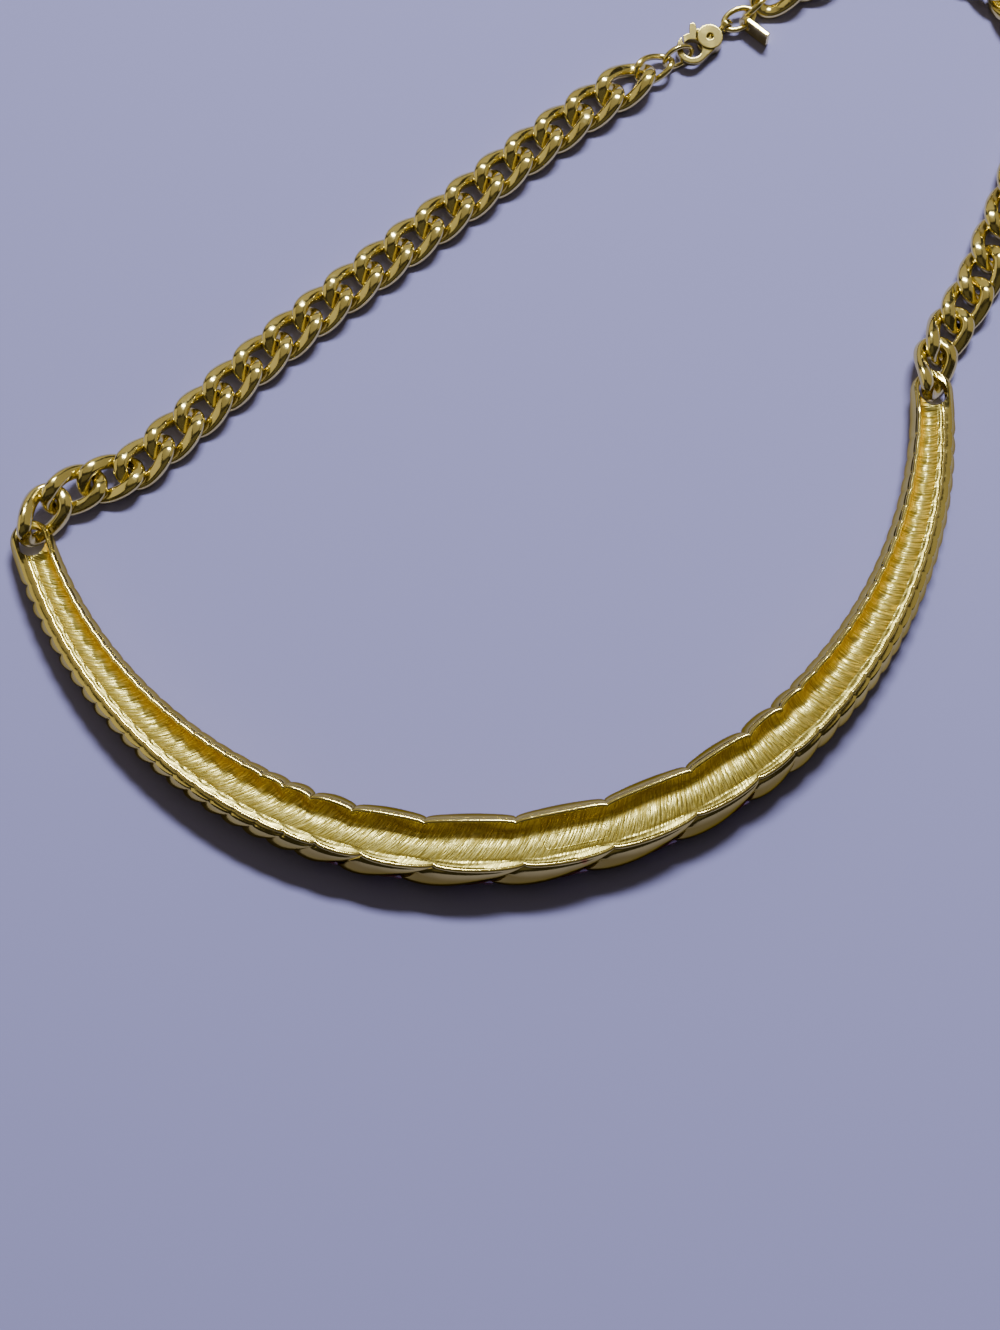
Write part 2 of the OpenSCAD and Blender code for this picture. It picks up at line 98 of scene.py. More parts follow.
def pitch_at(s):
    """Distance from rib to rib: wide near the middle, falling quickly past pitch_reach.

    The middle's extra is divided by 1 plus the sixth power of s over pitch_reach.
    """
    return pitch_end + (pitch_mid - pitch_end) / (1 + (np.abs(s) / pitch_reach) ** pitch_sharpness)


table_s = table_step * np.arange(table_rows)
table_n = np.concatenate([[0], np.cumsum(table_step / pitch_at(table_s[:-1] + table_step / 2))])
ribs_each_side = float(np.interp(collar_half, table_s, table_n))


def rib_at(s):
    """Ribs counted from the middle to the distance s."""
    return np.sign(s) * np.interp(np.abs(s), table_s, table_n)


def along(n, v):
    """Distance along the collar of rib number n at the share v round the section.

    v is 0 at the inner rim and 1 at the outer rim. The rib number is moved by the lean, and
    the inner side is spread a little, because the ribs fan out there.
    """
    m = n - middle_rib
    fade = np.clip((ribs_each_side - np.abs(m)) / lean_fade, 0, 1)
    leaned = m - rib_lean * (1 - v**lean_power) * fade
    flat = np.sign(leaned) * np.interp(np.abs(leaned), table_n, table_s)
    flat = flat + middle_shift * (1 - np.abs(m) / ribs_each_side)
    return flat * (1 + inner_spread * (1 - v) / (1 + (flat / spread_reach) ** spread_power))


print("ribs on each side:", round(ribs_each_side, 1))

# %% [markdown]
# From the middle to the tips the collar grows narrower and lower, as a cosine. Close to a tip
# its outline turns in round a quarter circle and its underside rises off the table, which
# leaves room for the first link in the eye.

# %% Widths and heights along the collar
mid_w, end_w = 10.0, 5.8
mid_h, end_h = 7.2, 4.6
rim_in_mid, rim_in_end = 1.35, 0.65
rim_out_mid, rim_out_end = 1.35, 1.7
tip_lift, tip_top, tip_rise = 2.1, 3.6, 7.0
tip_round, tip_thin = 3.0, 0.06


def taper(s):
    """1 at the middle and 0 at the tips, as a cosine."""
    return np.cos(np.pi / 2 * s / collar_half)


def from_tip(s):
    """Distance to the nearer tip."""
    return np.maximum(0, collar_half - np.abs(s))


def tip_round_at(s):
    """1 along the collar, falling round a quarter circle to almost 0 at the tip."""
    t = np.clip(from_tip(s) / tip_round, 0, 1)
    return np.maximum(tip_thin, np.sqrt(1 - (1 - t) ** 2))


def tip_blend(s):
    """0 along the collar and 1 at the tip: a soft step over the length tip_rise."""
    return 1 - smooth01(from_tip(s) / tip_rise)


def half_w(s):
    """Half the width: the tapered width, rounded in at the tip."""
    return between(end_w, mid_w, taper(s)) / 2 * tip_round_at(s)


def rim_z(s):
    """Height of the rims: the tapered height, which goes over to tip_top at the tip."""
    full = between(end_h, mid_h, taper(s))
    return between(full, tip_top, tip_blend(s))


def rim_in(s):
    """How far the inner wall leans in at its rim."""
    return between(rim_in_end, rim_in_mid, taper(s)) * tip_round_at(s)


def rim_out(s):
    """How far the outer wall leans in at its rim."""
    return between(rim_out_end, rim_out_mid, taper(s)) * tip_round_at(s)


print("section at the middle, mm:", mid_w, "wide,", mid_h, "high")

# %% [markdown]
# The section of the collar is half an ellipse with two walls on it that lean inwards to the
# rims. The outer wall isn't the same all along: over the middle it leans like the inner one,
# and towards the tips it bends over to the rim.

# %% The section of the collar
wall_share = 0.2
widest_share = 0.52
bend_from, bend_over, wall_lean = 22.0, 22.0, 1.7


def section(s, v):
    """Offset, height and outward direction of the plain skin at the share v.

    Between the walls the front is half an ellipse, from the widest place on one side to the
    widest place on the other. The inner wall leans in as a square. The outer one leans in as
    a power of the height over the middle, and towards the tips as a quarter ellipse.
    """
    a, top, low = half_w(s), rim_z(s), tip_lift * tip_blend(s)
    widest = between(low, top, widest_share)
    turn = np.pi * ((v - wall_share) / (1 - 2 * wall_share) - 0.5)
    inner, outer = v < wall_share, v > 1 - wall_share
    rise_in = 1 - v / wall_share
    rise_out = (v - 1 + wall_share) / wall_share
    leaning = np.clip(rise_out, 0, 1) ** wall_lean
    bending = 1 - np.sqrt(np.clip(1 - rise_out**2, 0, 1))
    in_by = between(leaning, bending, smooth01((np.abs(s) - bend_from) / bend_over))
    x = np.where(inner, -a + rim_in(s) * rise_in**2, a * np.sin(turn))
    x = np.where(outer, a - rim_out(s) * in_by, x)
    z = np.where(inner, between(widest, top, rise_in), between(low, widest, 1 - np.cos(turn)))
    z = np.where(outer, between(widest, top, rise_out), z)
    ox = np.where(inner, -1, np.where(outer, 1, np.sin(turn)))
    oz = np.where(inner | outer, 0, -np.cos(turn))
    return x, z, ox, oz


print("share of the section in each wall:", wall_share)

# %% [markdown]
# A rib is a half circle standing on the skin. Over the middle of the front the ribs draw
# apart, and the flat valley between their feet is where the enamel lies.

# %% The shape of a rib
enamel_ribs, rib_slack = 3, 0.01
enamel_room, room_low, room_high, room_power = 0.5, 0.1, 0.92, 0.6
foot_least = 0.06


def in_middle(n):
    """Whether the ribs near number n have enamel between them."""
    return np.abs(n - middle_rib) <= enamel_ribs + rib_slack


def rib_width(n, v):
    """Width of a rib as a share of its pitch: 1 at the rims, less where the enamel lies."""
    inside = (v > room_low) & (v < room_high)
    arch = np.sin(np.pi * np.clip((v - room_low) / (room_high - room_low), 0, 1))
    return 1 - enamel_room * np.where(inside, arch**room_power, 0) * in_middle(n)


def rib_height(n, v):
    """Height of the half circle on the rib: 1 on the crest and 0 in the valley."""
    x = (2 * (n - np.floor(n)) - 1) / rib_width(n, v)
    return np.sqrt(np.clip(1 - x * x, 0, 1))


def foot_at(n, v):
    """Where a rib's foot is, as a share of the pitch from the middle of the valley."""
    return np.maximum(foot_least, (1 - rib_width(n, v)) / 2)


print("narrowest wide rib, share of the pitch:", 1 - enamel_room)

# %% [markdown]
# The relief isn't as deep everywhere. It is lower at the rims, fades from the inner wall away
# from the middle, and ends before the tips, so that the eyes are smooth.

# %% The depth of the valleys
rib_h = 0.9
rim_relief = 0.7
inner_from, inner_over, inner_end = 34.0, 12.0, 0.2
inner_share, inner_share_over = 0.15, 0.25
outer_from, outer_over, outer_end = 24.0, 16.0, 0.2
eye_clear_from, eye_clear_over = 6.0, 4.0


def relief_at(s, v):
    """How much of the relief there is: a product of soft steps, one for each place."""
    far_out = smooth01((np.abs(s) - outer_from) / outer_over) * (v > 0.5)
    at_rim = rim_relief * (1 - (1 - outer_end) * far_out)
    by_rim = between(at_rim, 1, smooth01(np.minimum(v, 1 - v) / wall_share))
    far = smooth01((np.abs(s) - inner_from) / inner_over)
    inner = 1 - (1 - inner_end) * far * (1 - smooth01((v - inner_share) / inner_share_over))
    return by_rim * inner * smooth01((from_tip(s) - eye_clear_from) / eye_clear_over)


def valley_depth(n, v):
    """Depth of the nearest valley below its crests."""
    return rib_h * relief_at(along(n, v), v)


def sink_at(n, v):
    """How far the skin lies below its crests at rib number n."""
    return valley_depth(n, v) * (1 - rib_height(n, v))


def skin(n, v, depth):
    """A point of the skin, sunk below the crests by depth."""
    s = along(n, v)
    x, z, ox, oz = section(s, v)
    return on_curve(s, x - ox * depth, z - oz * depth)


print("deepest valley, mm:", rib_h)

# %% [markdown]
# The grid of the collar has columns along it and rows round it. A column isn't at the same
# rib number in every row: over the middle, one column always runs along the foot of a rib, so
# that the edge of each valley is a clean line. Between foot and crest the columns are spaced
# as on a half circle.

# %% Steps across a wide rib
wide_steps, narrow_steps, valley_steps = 32, 14, 4


def wide_share(t, foot):
    """Share of the way from one valley's middle to the next, for the step t from 0 to 1.

    The first steps cross the flat valley to the foot of the rib. The others go round the half
    circle: the distance from the foot is 1 minus a cosine.
    """
    half_steps = wide_steps / 2
    k = np.minimum(t, 1 - t) * wide_steps
    flat = foot * k / valley_steps
    u = np.clip((k - valley_steps) / (half_steps - valley_steps), 0, 1)
    round_part = foot + (0.5 - foot) * (1 - np.cos(np.pi / 2 * u))
    share = np.where(k < valley_steps, flat, round_part)
    return np.where(t <= 0.5, share, 1 - share)


print("columns for a wide and a narrow rib:", wide_steps, narrow_steps)

# %% [markdown]
# Wide ribs get more columns than narrow ones. At the tips the outline turns in fast, so the
# last columns crowd together there.

# %% Columns along the collar
tip_clear, column_slack = 6.0, 0.001
column_to_tip = np.array([5.3, 4.6, 3.9, 3.3, 2.8, 2.4, 2.0, 1.6, 1.3,
                          1.0, 0.75, 0.55, 0.37, 0.22, 0.12, 0.05, 0.01, 0.0])
ribs_to_tip = float(rib_at(collar_half - tip_clear))
first_rib = int(np.floor(middle_rib - ribs_to_tip))
last_rib = int(np.ceil(middle_rib + ribs_to_tip))
rib_columns = []
for k in range(first_rib, last_rib + 1):
    for steps, for_enamel in ((wide_steps, True), (narrow_steps, False)):
        t = np.arange(steps) / steps
        away = np.abs(k + t - middle_rib)
        near = away <= enamel_ribs + column_slack
        wanted = (near == for_enamel) & (away <= ribs_to_tip)
        rib_columns += [(k, share) for share in t[wanted]]
rib_columns = np.array(sorted(rib_columns))
tips = middle_rib + rib_at(collar_half - column_to_tip)
column_k = np.concatenate([0 * tips, rib_columns[:, 0], 0 * tips])
column_t = np.concatenate([(2 * middle_rib - tips)[::-1], rib_columns[:, 1], tips])
column_n = column_k + column_t


def numbers_for(v):
    """Rib numbers of all columns, with one row of the grid for each v, and the v of each."""
    n0 = column_n[:, None] + 0 * v[None, :]
    vv = v[None, :] + 0 * n0
    shared = column_k[:, None] + wide_share(np.clip(column_t, 0, 1)[:, None], foot_at(n0, vv))
    return np.where(in_middle(n0), shared, n0), vv


print("columns:", len(column_n))

# %% [markdown]
# The hollow isn't an even trough. Its inner wall drops steeply from the rim, the floor is
# deepest near it, and from there the metal rises gently to a smooth shelf at the outer rim.
# It is shallower towards the tips and ends before the eyes. The inner wall follows the ribs,
# because the casting has walls of one thickness, so each valley shows as a soft ridge inside.

# %% The hollow
hollow_mid, hollow_end, hollow_least = 2.5, 0.95, 0.02
rim_w, rim_round = 0.55, 0.2
floor_row, floor_sharpness = 0.62, 1.05
place_mid, place_end = 0.78, 0.6
ridge_reach_in, ridge_reach_out, ridge_lift = 0.55, 0.2, 0.5
hollow_start, hollow_start_over = 5.5, 1.2
outline_reach = 0.12
round_out, round_in = 0.06, 0.03


def at_edges(share, first, last):
    """1 at both edges of a strip, falling evenly to 0 over the shares first and last."""
    return np.clip(1 - share / first, 0, 1) + np.clip((share - 1 + last) / last, 0, 1)


def hollow(n, share):
    """A point of the hollow, from the outer rim (share 0) down and up to the inner rim (1).

    Down to the row floor_row the depth is a sine of the share. From there a quarter ellipse
    climbs to the inner rim. The deepest place is at the share place_mid of the width over
    the middle, and at place_end at the tips.
    """
    v = 1 - share
    s = along(n, v)
    lip = rim_w * tip_round_at(s)
    depth = between(hollow_end, hollow_mid, taper(s))
    depth = depth * smooth01((from_tip(s) - hollow_start) / hollow_start_over) + hollow_least
    near_out = 1 - smooth01(share / ridge_reach_out)
    near_in = 1 - smooth01((1 - share) / ridge_reach_in)
    by_outline = np.clip(1 - np.minimum(share, 1 - share) / outline_reach, 0, 1)
    soft = valley_depth(n, v) * (0.5 + 0.5 * np.cos(2 * np.pi * n))
    sink = between(soft, sink_at(n, v), by_outline)
    high = half_w(s) - rim_out(s) - lip - sink * near_out
    low = -half_w(s) + rim_in(s) + lip + sink * near_in
    rise = np.clip(share / floor_row, 0, 1)
    turn = np.pi / 2 * np.clip((share - floor_row) / (1 - floor_row), 0, 1)
    deepest = between(place_end, place_mid, taper(s))
    across = deepest * rise + (1 - deepest) * np.sin(turn)
    down = np.where(share < floor_row, np.sin(np.pi / 2 * rise) ** floor_sharpness, np.cos(turn))
    ridge = ridge_lift * sink * near_in * down
    edge = rim_round * at_edges(share, round_out, round_in)
    return on_curve(s, between(high, low, across), rim_z(s) - depth * down + ridge - edge)


print("depth of the hollow at the middle and the ends, mm:", hollow_mid, hollow_end)

# %% [markdown]
# The rows of the grid go round the collar in four parts: the skin from the inner rim to the
# outer one, a bead over the outer rim, the hollow, and a bead over the inner rim. The beads
# are small half circles, because polishing rounds every rim over.

# %% Rows round the collar
skin_rows, hollow_rows, bead_rows = 76, 36, 7
row_crowding = 0.35
round_skin = 0.03


def collar_grid():
    """All points of the collar, as an array of columns by rows by 3.

    A bead goes from one edge to the other as 1 minus a cosine and stands up as a sine.
    """
    even = np.linspace(0, 1, skin_rows + 1)
    v = row_crowding * (1 - np.cos(np.pi * even)) / 2 + (1 - row_crowding) * even
    n, vv = numbers_for(v)
    outside = skin(n, vv, sink_at(n, vv))
    outside[..., 2] -= rim_round * at_edges(vv, round_skin, round_skin)
    n, vv = numbers_for(1 - np.linspace(0, 1, hollow_rows + 1))
    inside = hollow(n, 1 - vv)
    round_the_bead = np.pi * (np.arange(bead_rows) + 1) / (bead_rows + 1)
    over = (1 - np.cos(round_the_bead))[None, :, None] / 2
    lift = rim_round * np.sin(round_the_bead)[None, :, None] * np.array([0, 0, 1])
    outer_bead = outside[:, -1:] * (1 - over) + inside[:, :1] * over + lift
    inner_bead = inside[:, -1:] * (1 - over) + outside[:, :1] * over + lift
    return np.concatenate([outside, outer_bead, inside, inner_bead], axis=1)


collar_points = collar_grid()
print("collar grid:", collar_points.shape)

# %% [markdown]
# A grid becomes a mesh with three arrays: the corners of all faces in a row, the place where
# each face starts, and its number of corners. A closed ring joins its last row to its first,
# and the two ends of a tube are closed with one face each.

# %% From a grid to a mesh


def mesh_from(name, vertices, quads, extra=()):
    """A mesh object from vertices in millimetres, an array of quads and a few larger faces."""
    mesh = bpy.data.meshes.new(name)
    corners = np.concatenate([quads.ravel(), *[np.asarray(f) for f in extra]]).astype(np.int32)
    sizes = np.array([4] * len(quads) + [len(f) for f in extra], np.int32)
    starts = np.concatenate([[0], np.cumsum(sizes)[:-1]]).astype(np.int32)
    mesh.vertices.add(len(vertices))
    mesh.vertices.foreach_set("co", (np.asarray(vertices) * mm).astype(np.float32).ravel())
    mesh.loops.add(len(corners))
    mesh.loops.foreach_set("vertex_index", corners)
    mesh.polygons.add(len(sizes))
    mesh.polygons.foreach_set("loop_start", starts)
    mesh.polygons.foreach_set("use_smooth", np.ones(len(sizes), bool))
    mesh.update(calc_edges=True)
    mesh.validate()
    obj = bpy.data.objects.new(name, mesh)
    bpy.context.scene.collection.objects.link(obj)
    return obj


def ring_quads(columns_count, rows_count, close_columns=False):
    """Quads of a grid whose rows close round, and whose columns may close too."""
    last = columns_count if close_columns else columns_count - 1
    i = np.arange(last)[:, None]
    j = np.arange(rows_count)[None, :]
    i2, j2 = (i + 1) % columns_count, (j + 1) % rows_count
    quad = [i * rows_count + j, i2 * rows_count + j, i2 * rows_count + j2, i * rows_count + j2]
    return np.stack([q + 0 * (i + j) for q in quad], axis=-1).reshape(-1, 4)


def tube(name, rings, rings_face_out=True):
    """A tube through an array of rings by points, with one face over each end."""
    count = rings.shape[1]
    quads = ring_quads(len(rings), count)
    first = np.arange(count)
    caps = np.array([first[::-1], (len(rings) - 1) * count + first])
    if rings_face_out:
        quads = quads[:, ::-1]
    else:
        caps = caps[:, ::-1]
    return mesh_from(name, rings.reshape(-1, 3), quads, caps)


def finish_piece(obj, body, slot, *replaced):
    """Puts a piece on its body and hides the solids it stands for. The slot is not used."""
    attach(obj, body)
    if replaced:
        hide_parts(*replaced)
    print(obj.name, "faces:", len(obj.data.polygons))
    return obj


print("mesh helpers ready")

# %% [markdown]
# The collar is one tube of the grid's columns. Its skin is polished and its hollow is brushed,
# so each face notes which of the two it belongs to, from its row in the grid.

# %% The collar's mesh
collar = tube("collar_cast", collar_points, rings_face_out=False)
grid_columns, grid_rows = collar_points.shape[:2]
hollow_first = skin_rows + 1 + bead_rows
hollow_last = hollow_first + hollow_rows
row_of_face = np.concatenate([np.tile(np.arange(grid_rows), grid_columns - 1), [0, 0]])
in_hollow = (row_of_face >= hollow_first - 1) & (row_of_face <= hollow_last)
for finish_name in ("polished_collar", "brushed_hollow"):
    collar.data.materials.append(bpy.data.materials.new(finish_name))
collar.data.polygons.foreach_set("material_index", in_hollow.astype(np.int32))
print("faces in the hollow:", int(in_hollow.sum()))

# %% [markdown]
# Each end of the collar has an upright oval eye for the first link. A hole through a finished
# surface is easiest as a boolean: the cutter is a plain oval prism, and it is removed once
# the cut is made.

# %% Cut the eyes
eye_len, eye_wid, eye_wall = 4.7, 4.0, 1.0
eye_at = collar_half - eye_wall - eye_len / 2
eye_sides = 64
cutter_low, cutter_high = -1.0, 7.0
crease = np.radians(60)


def eye_cutter(side):
    """An oval prism: distance along is a cosine and offset a sine of the angle."""
    t = 2 * np.pi * np.arange(eye_sides) / eye_sides
    turn = side * eye_at / collar_r
    x = eye_len / 2 * np.cos(t)
    y = eye_wid / 2 * np.sin(t) - collar_r
    flat = [x * np.cos(turn) - y * np.sin(turn), x * np.sin(turn) + y * np.cos(turn)]
    rings = [np.stack([*flat, np.full(eye_sides, z)], -1) for z in (cutter_low, cutter_high)]
    return tube("eye_cutter", np.array(rings) + collar_centre)


for side in (-1, 1):
    cutter = eye_cutter(side)
    cut = collar.modifiers.new("eye", "BOOLEAN")
    cut.operation = "DIFFERENCE"
    cut.solver = "MANIFOLD"
    cut.object = cutter
    bpy.context.view_layer.objects.active = collar
    bpy.ops.object.modifier_apply(modifier="eye")
    bpy.data.objects.remove(cutter)
collar.data.polygons.foreach_set("use_smooth", np.ones(len(collar.data.polygons), bool))
collar.data.set_sharp_from_angle(angle=crease)
finish_piece(collar, "necklace", "collar_metal", "collar")

# %% [markdown]
# The enamel was poured into the six widest valleys between the ribs. Each panel is a leaf: a
# flat ring of points is carried along the valley, widest in the middle and narrow at both
# ends, and its face is a little hollow, as enamel is where it climbs the metal beside it.

# %% Enamel panels
enamel_from, enamel_to = 0.25, 0.835
enamel_gap, enamel_t, enamel_clear = 0.155, 0.45, 0.2 * rib_h
leaf_tip, tip_t, dish = 0.06, 0.25, 0.18
enamel_columns, enamel_across = 60, 16
valley_side = 0.001
enamel_crease = np.radians(50)


def enamel_points(k):
    """Points of the panel in valley k.

    Along the panel u goes from 0 to 1, and round it w goes from one side to the other over
    the face and back underneath. The half width is the room in the valley times the square
    root of 1 minus the fourth power of 2u - 1. The face is dished as the square of w.
    """
    u = np.linspace(0, 1, enamel_columns)[:, None]
    w = np.linspace(-1, 1, enamel_across)[None, :]
    v = enamel_from + (enamel_to - enamel_from) * u + 0 * w
    leaf = np.clip(1 - (2 * u - 1) ** 4, 0, 1) ** 0.5
    room = foot_at(k + valley_side + 0 * v, v) - enamel_clear / pitch_at(along(k + 0 * v, v))
    n = k + w * room * between(leaf_tip, 1, leaf)
    thick = enamel_t * between(tip_t, 1, leaf) * (1 - dish + dish * w**2)
    face = skin(n, v, rib_h - enamel_gap - thick)
    back = skin(n, v, (rib_h - enamel_gap) + 0 * n)
    return np.concatenate([face, back[:, ::-1]], axis=1)


for index in range(1, 2 * enamel_ribs + 1):
    panel = tube(f"enamel_panel_{index}", enamel_points(index - enamel_ribs))
    panel.data.set_sharp_from_angle(angle=enamel_crease)
    finish_piece(panel, "necklace", "enamel", f"enamel_{index}")

# %% [markdown]
# A curb link is a flattened wire bent round an oval and twisted, so that the chain lies flat.
# The centre of the wire has a simple formula, and an ellipse carried along it gives the link.

# %% The shape of a link
wire_w, wire_t = 2.05, 1.5
link_len, link_wid, link_twist, link_pitch = 7.8, 4.7, 1.1, 5.58
link_rings, link_sides = 48, 24
squared_w, squared_t = 0.85, 0.7


def signed_power(x, power):
    """The size of x to a power, with the sign of x."""
    return np.sign(x) * np.abs(x) ** power


def link_points(length, width, twist, wide, thick):
    """Points of one link lying flat at the origin, as rings by sides by 3.

    The wire's centre is half the length times a cosine, half the width times a sine, and a
    height of minus the twist times the sine of twice the angle. The section is an ellipse,
    a little squared, across the direction of the wire.
    """
    t = 2 * np.pi * np.arange(link_rings) / link_rings
    centre = np.stack([length / 2 * np.cos(t), width / 2 * np.sin(t), -twist * np.sin(2 * t)], -1)
    way = np.stack([-length / 2 * np.sin(t), width / 2 * np.cos(t), -2 * twist * np.cos(2 * t)], -1)
    way /= np.linalg.norm(way, axis=-1, keepdims=True)
    side = np.cross(way, [0, 0, 1])
    side /= np.linalg.norm(side, axis=-1, keepdims=True)
    up = np.cross(side, way)
    a = 2 * np.pi * np.arange(link_sides) / link_sides
    across = (signed_power(np.cos(a), squared_w) * wide / 2)[None, :, None]
    over = (signed_power(np.sin(a), squared_t) * thick / 2)[None, :, None]
    return centre[:, None] + side[:, None] * across + up[:, None] * over


curb = link_points(link_len, link_wid, link_twist, wire_w, wire_t)
print("points in a curb link:", curb.shape[0] * curb.shape[1])

# %% [markdown]
# All links of a chain are placed at once: one array of poses times one array of points. A
# pose is a place and three turns, the roll about the link's length first and the heading last.

# %% Placing links


def turn_about(axis, degrees):
    """Rotation matrices about one axis, for an array of angles in degrees."""
    c, s = np.cos(np.radians(degrees)), np.sin(np.radians(degrees))
    one, nil = np.ones_like(c), np.zeros_like(c)
    rows = {
        "x": [one, nil, nil, nil, c, -s, nil, s, c],
        "y": [c, nil, s, nil, one, nil, -s, nil, c],
        "z": [c, -s, nil, s, c, nil, nil, nil, one],
    }
    return np.stack(rows[axis], -1).reshape(-1, 3, 3)


def links_mesh(name, poses, shape):
    """One mesh of links, each placed by a pose of x, y, z, heading, pitch and roll."""
    poses = np.atleast_2d(np.array(poses, float))
    rings, sides = shape.shape[:2]
    turns = turn_about("z", poses[:, 3]) @ turn_about("y", -poses[:, 4]) @ turn_about("x", poses[:, 5])
    placed = np.einsum("kab,rsb->krsa", turns, shape) + poses[:, None, None, :3] + collar_centre
    one = ring_quads(rings, sides, close_columns=True)
    quads = one[None] + (np.arange(len(poses)) * rings * sides)[:, None, None]
    return mesh_from(name, placed.reshape(-1, 3), quads.reshape(-1, 4))


print("link helpers ready")

# %% [markdown]
# The chains lie in gentle curves. Each link is one pitch on from the last, along a heading
# that a short table gives for a few links, and the first links climb to the collar's eye.

# %% The chains
solid_wire_t, table_gap = 1.43, 0.02
link_z = link_twist + solid_wire_t / 2 + table_gap


def walk(start, headings, count):
    """Poses of count links: headings are read from the table, and places are their sums."""
    at, heading = np.array(headings, float).T
    k = np.arange(count)
    step = np.radians(np.interp(k[:-1] + 0.5, at, heading))
    x = start[0] + np.concatenate([[0], np.cumsum(link_pitch * np.cos(step))])
    y = start[1] + np.concatenate([[0], np.cumsum(link_pitch * np.sin(step))])
    zero = np.zeros(count)
    return np.stack([x, y, zero + link_z, np.interp(k, at, heading), zero, zero], -1)


left_first = [[-57, -3.61, 2.8, 19.7, -9.8, 26.9], [-51.67, -2.41, 2.05, 9.7, -4.4, 10.2]]
left_headings = [[0, 32.4], [2, 35.1], [5, 31.3], [8, 29.3], [12, 30.5], [16, 24.5]]
left_poses = np.concatenate([left_first, walk([-46.65, -0.53], left_headings, 17)])
right_first = [[67.61, -1.88, 2.38, 50.3, -5.1, 22.4], [71.37, 2.33, 2.06, 47.1, -1.5, 6.8]]
right_headings = [[0, 57], [2, 57], [5, 68.8], [7, 91.9], [12, 182], [15, 199.7]]
right_poses = np.concatenate([right_first, walk([74.7, 6.5], right_headings, 16)])
eye_link_poses = [-61.71, -6.61, 3.14, 48.3, 2.4, 38], [64.63, -6.61, 2.75, 67, -1.3, 33.2]

curb_links = {
    "curb_chain_left": ("chain_left", left_poses),
    "curb_chain_right": ("chain_right", right_poses),
    "eye_link_left": ("end_link_left", eye_link_poses[0]),
    "eye_link_right": ("end_link_right", eye_link_poses[1]),
}
for name, (node, poses) in curb_links.items():
    finish_piece(links_mesh(name, poses, curb), "necklace", "chain_metal", node)

# %% [markdown]
# Round the clasp are four small links of thin round wire. They are the same surface with
# other sizes: one is twisted a little, and the others are flat rings. Each line below gives
# the solid, the pose, and the length, width, twist and both sizes of the wire.

# %% Small links round the clasp
small_links = {
    "small_link_a": ("small_link_left", [34.85, 46.67, 1.85, 17, 0, 8], (5.6, 3.4, 0.7, 0.9, 0.9)),
    "hook_link": ("catch_link", [38.72, 47.86, 1.78, 17, 0, 64], (4.4, 3.0, 0, 0.75, 0.75)),
    "tail_ring": ("clasp_ring", [48.68, 52.45, 1.48, 15.9, 4.2, 8.2], (4.8, 2.9, 0, 0.8, 0.8)),
    "small_link_b": ("small_link_right", [51.58, 54.09, 1.79, 35.6, 7.28, 117.35],
                     (4.5, 3.0, 0, 0.8, 0.8)),
}
for name, (node, pose, sizes) in small_links.items():
    finish_piece(links_mesh(name, pose, link_points(*sizes)), "necklace", "chain_metal", node)

# %% [markdown]
# The clasp, its lever and the tag are cast and tumbled, so none of their edges is sharp. The
# solid of each is copied, built up again from small cubes of one size and then smoothed,
# which rounds every edge alike and keeps the form.

# %% Tumbled castings
weld_within, smooth_factor = 0.002, 0.6


def tumbled(name, node, cube, rounds):
    """A copy of a solid with soft edges: merge, remesh to cubes of one size, then smooth."""
    obj = bpy.data.objects.new(name, nodes[node].data.copy())
    bpy.context.scene.collection.objects.link(obj)
    weld = obj.modifiers.new("weld", "WELD")
    weld.merge_threshold = weld_within * mm
    remesh = obj.modifiers.new("remesh", "REMESH")
    remesh.mode = "VOXEL"
    remesh.voxel_size = cube * mm
    remesh.use_smooth_shade = True
    smooth = obj.modifiers.new("smooth", "SMOOTH")
    smooth.factor = smooth_factor
    smooth.iterations = rounds
    bpy.context.view_layer.objects.active = obj
    for step in ("weld", "remesh", "smooth"):
        bpy.ops.object.modifier_apply(modifier=step)
    return obj


clasp = tumbled("lobster_clasp", "clasp_body", 0.06, 9)
lever = tumbled("lobster_lever", "clasp_lever", 0.05, 4)
tag = tumbled("blank_tag", "hang_tag", 0.06, 4)
for casting in (clasp, lever, tag):
    print(casting.name, "corners:", len(casting.data.vertices))

# %% [markdown]
# The head of the rivet lies in a small cup in the clasp's face, and the whole face slopes a
# little across the clasp, as hand polishing leaves it. Both are moves of the mesh's own
# points, so the rest of the casting stays as it is.

# %% The clasp's cup and sloping face
rivet_at = (30.37, 53.53)
cup_r, cup_depth, cup_above = 0.42, 0.6, 1.9
cup_outside, cup_edge = 1.25, 0.5
clasp_heading, face_slope = np.radians(26.0), 0.11
slope_low, slope_high = 0.9, 1.9


def places_of(obj):
    """The places of a mesh's points, in millimetres."""
    places = np.zeros(3 * len(obj.data.vertices), np.float32)
    obj.data.vertices.foreach_get("co", places)
    return places.reshape(-1, 3) / mm


def put_places(obj, places):
    """Gives a mesh its points back, from millimetres."""
    obj.data.vertices.foreach_set("co", (places * mm).astype(np.float32).ravel())
    obj.data.update()


def sink_cup(obj):
    """Sinks the face round the rivet: a soft step of the distance from it, above one height."""
    places = places_of(obj)
    away = np.linalg.norm(places[:, :2] - np.array(rivet_at), axis=1)
    cup = smooth01((cup_r * cup_outside - away) / (cup_r * cup_edge))
    places[:, 2] -= cup_depth * cup * (places[:, 2] > cup_above)
    put_places(obj, places)


